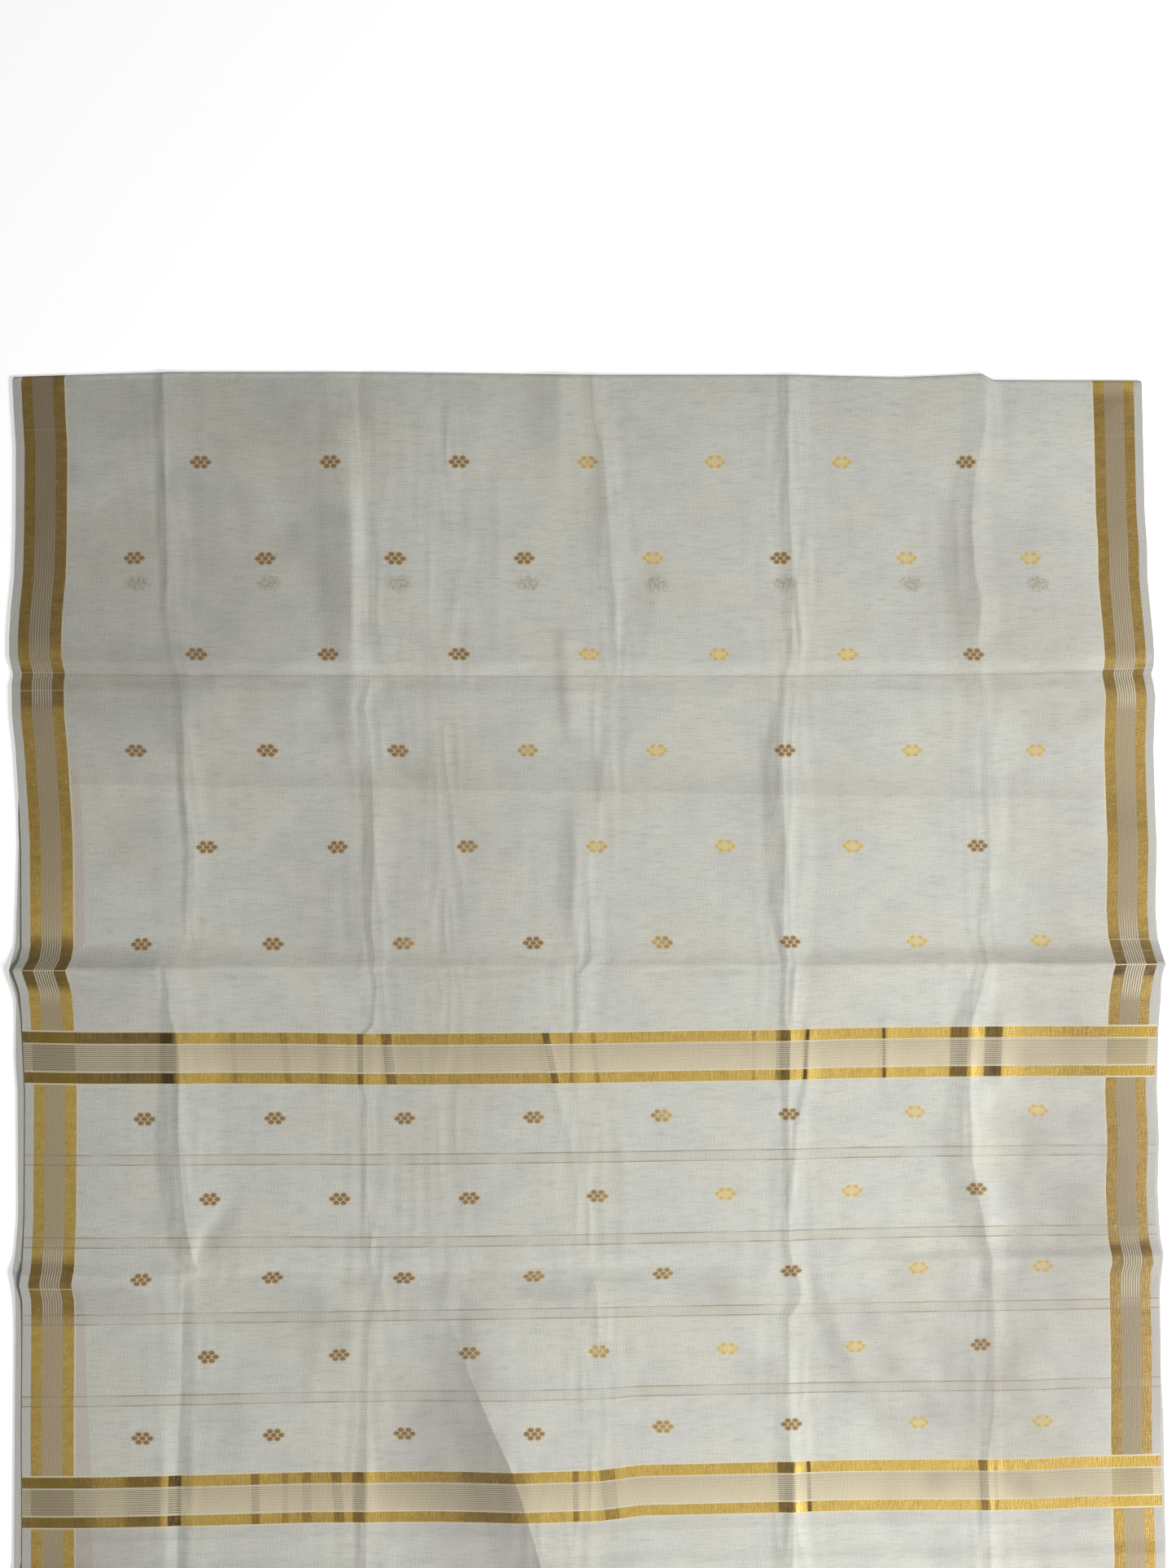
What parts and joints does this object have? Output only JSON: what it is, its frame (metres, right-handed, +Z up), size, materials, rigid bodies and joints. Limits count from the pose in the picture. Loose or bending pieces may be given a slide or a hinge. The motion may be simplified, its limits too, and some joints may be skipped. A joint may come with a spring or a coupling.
{
  "type": "saree folded in four and laid flat",
  "caption": "White silk-cotton saree with zari borders, two cross bands and small dotted buttas, folded along its length and laid flat with its pallu uppermost.",
  "frame": {"origin": "middle of the flat underside, where the folded cloth rests on a surface", "axes": "+Z up from the surface, +Y along the cloth towards the top fold, +X across it from left selvedge to right selvedge"},
  "size_m": [1.1946, 1.4018, 0.0237],
  "materials": {
    "silk_cotton": "ivory silk-cotton, sheer, with a soft sheen",
    "zari_border": "woven gold metallic thread, satin",
    "zari_band": "woven gold metallic thread, satin"
  },
  "bodies": {
    "root": {"body_field": "silk_cotton", "body_left_border": "zari_border", "body_right_border": "zari_border", "upper_band": "zari_band", "pallu_field": "silk_cotton", "pallu_left_border": "zari_border", "pallu_right_border": "zari_border", "lower_band": "zari_band", "pallu_end_field": "silk_cotton", "pallu_end_left_border": "zari_border", "pallu_end_right_border": "zari_border", "end_hem": "silk_cotton", "folded_layers": "silk_cotton"}
  },
  "joints": []
}
